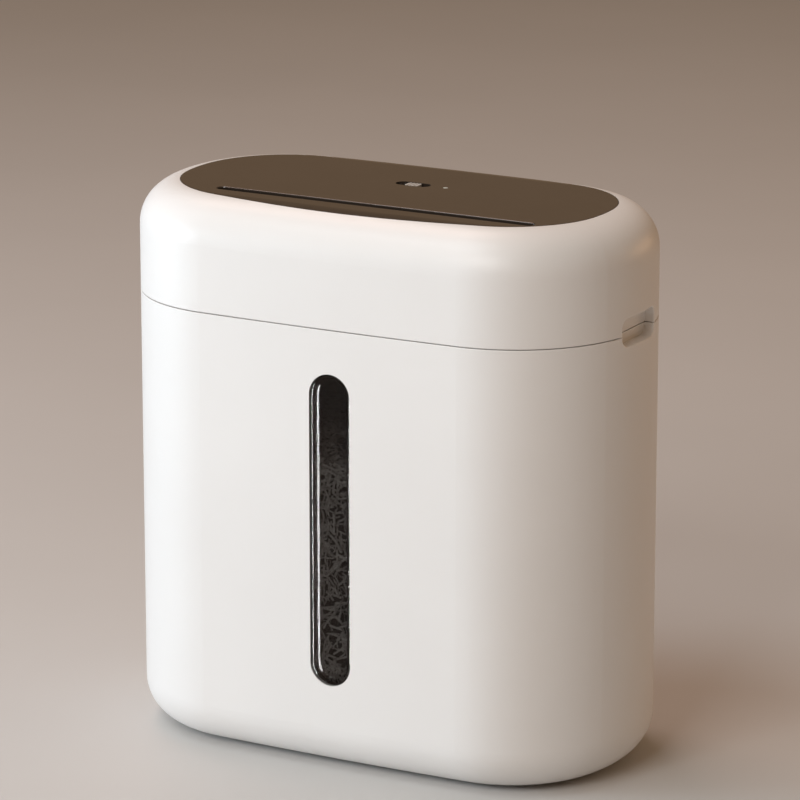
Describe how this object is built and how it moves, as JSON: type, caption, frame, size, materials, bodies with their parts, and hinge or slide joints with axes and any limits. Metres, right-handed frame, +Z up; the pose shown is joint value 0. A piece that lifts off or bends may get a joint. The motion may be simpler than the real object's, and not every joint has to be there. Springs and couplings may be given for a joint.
{
  "type": "paper shredder",
  "caption": "Free-standing paper shredder: oval waste bin with a long oblong window, and a lift-off head with a top paper slot, cutters and gear drive.",
  "frame": {"origin": "on the floor under the middle of the body, at the underside of the feet", "axes": "+X to the right of someone facing the front, +Y to the back, +Z up"},
  "size_m": [0.344, 0.186, 0.36],
  "materials": {
    "shell": "glossy white ABS",
    "shell_inner": "satin white ABS",
    "plate": "polished dark brown acrylic",
    "window": "clear smoked polycarbonate",
    "dark_plastic": "fine matt black",
    "knob": "satin light grey",
    "rubber": "matt",
    "zinc_steel": "zinc plated",
    "cutter_steel": "hardened and ground",
    "motor_steel": "passivated sheet",
    "steel_gear": "sintered",
    "nylon_gear": "natural acetal",
    "bronze": "plain",
    "copper": "enamelled winding wire",
    "magnet": "sintered ferrite",
    "board": "solder resist",
    "relay": "moulded",
    "capacitor": "shrink sleeve",
    "heat_sink": "extruded",
    "choke": "coated ferrite ring",
    "light_pipe": "clear",
    "wire": "insulation"
  },
  "bodies": {
    "bin": {"bin_shell": "shell", "window_insert": "window", "window_retainer": "dark_plastic", "window_screws": "zinc_steel", "rubber_feet": "rubber", "interlock_key": "shell_inner"},
    "head": {"head_shell": "shell", "top_plate": "plate", "paper_throat": "dark_plastic", "head_base": "shell_inner", "base_screws": "zinc_steel", "side_frame_left": "zinc_steel", "side_frame_right": "zinc_steel", "shaft_bushes": "bronze", "tie_rods": "zinc_steel", "tie_nuts": "zinc_steel", "frame_screws": "zinc_steel", "stripper_comb_front": "dark_plastic", "stripper_comb_rear": "dark_plastic", "gear_pins": "cutter_steel", "gearbox_plate": "zinc_steel", "gearbox_posts": "zinc_steel", "drive_screws": "zinc_steel", "motor_can": "motor_steel", "motor_endcap": "dark_plastic", "motor_bushes": "bronze", "motor_magnets": "magnet", "motor_brushes": "magnet", "thermal_cutout": "magnet", "switch_bezel": "plate", "switch_housing": "dark_plastic", "light_pipe": "light_pipe", "control_board": "board", "interlock_switch": "dark_plastic", "paper_sensors": "dark_plastic", "main_board": "board", "board_screws": "zinc_steel", "relay": "relay", "filter_capacitor": "capacitor", "heat_sink": "heat_sink", "choke": "choke", "fuse": "light_pipe", "terminal_block": "relay", "inlet_socket": "dark_plastic", "inlet_pins": "bronze", "wire_harness": "wire"},
    "front_cutter": {"cutter_roller_front": "cutter_steel", "front_sync_gear": "steel_gear", "roller_clips_front": "zinc_steel"},
    "rear_cutter": {"cutter_roller_rear": "cutter_steel", "rear_sync_gear": "steel_gear", "drive_gear": "steel_gear", "roller_clips_rear": "zinc_steel"},
    "idler": {"idler_gear": "nylon_gear"},
    "first_stage": {"first_gear": "nylon_gear"},
    "rotor": {"motor_armature": "copper", "motor_shaft": "cutter_steel", "motor_pinion": "bronze"},
    "slider": {"slider_knob": "knob"},
    "plunger": {"interlock_plunger": "knob"}
  },
  "joints": [
    {"name": "head_lift", "type": "slide", "parent": "bin", "child": "head", "axis": [0, 0, 1], "range_m": [0, 0.12]},
    {"name": "rear_cutter_spin", "type": "hinge", "parent": "head", "child": "rear_cutter", "pos_m": [0.01, -0.036, 0.306], "axis": [1, 0, 0], "continuous": true},
    {"name": "front_cutter_spin", "type": "hinge", "parent": "head", "child": "front_cutter", "pos_m": [0.01, -0.062, 0.306], "axis": [1, 0, 0], "continuous": true},
    {"name": "idler_spin", "type": "hinge", "parent": "head", "child": "idler", "pos_m": [0.01, -0.00225, 0.306], "axis": [1, 0, 0], "continuous": true},
    {"name": "first_stage_spin", "type": "hinge", "parent": "head", "child": "first_stage", "pos_m": [0.01, 0.01685, 0.32053], "axis": [1, 0, 0], "continuous": true},
    {"name": "motor_spin", "type": "hinge", "parent": "head", "child": "rotor", "pos_m": [0.01, 0.038, 0.312], "axis": [1, 0, 0], "continuous": true},
    {"name": "mode_slide", "type": "slide", "parent": "head", "child": "slider", "axis": [1, 0, 0], "range_m": [-0.004, 0.004]},
    {"name": "interlock_travel", "type": "slide", "parent": "head", "child": "plunger", "axis": [0, 0, 1], "range_m": [-0.003, 0]}
  ],
  "couplings": [
    {"joint": "front_cutter_spin", "follows": "rear_cutter_spin", "ratio": -1},
    {"joint": "idler_spin", "follows": "rear_cutter_spin", "ratio": -2.8571},
    {"joint": "first_stage_spin", "follows": "rear_cutter_spin", "ratio": 8.5714},
    {"joint": "motor_spin", "follows": "rear_cutter_spin", "ratio": -32.143},
    {"joint": "interlock_travel", "follows": "head_lift", "ratio": -0.025}
  ]
}
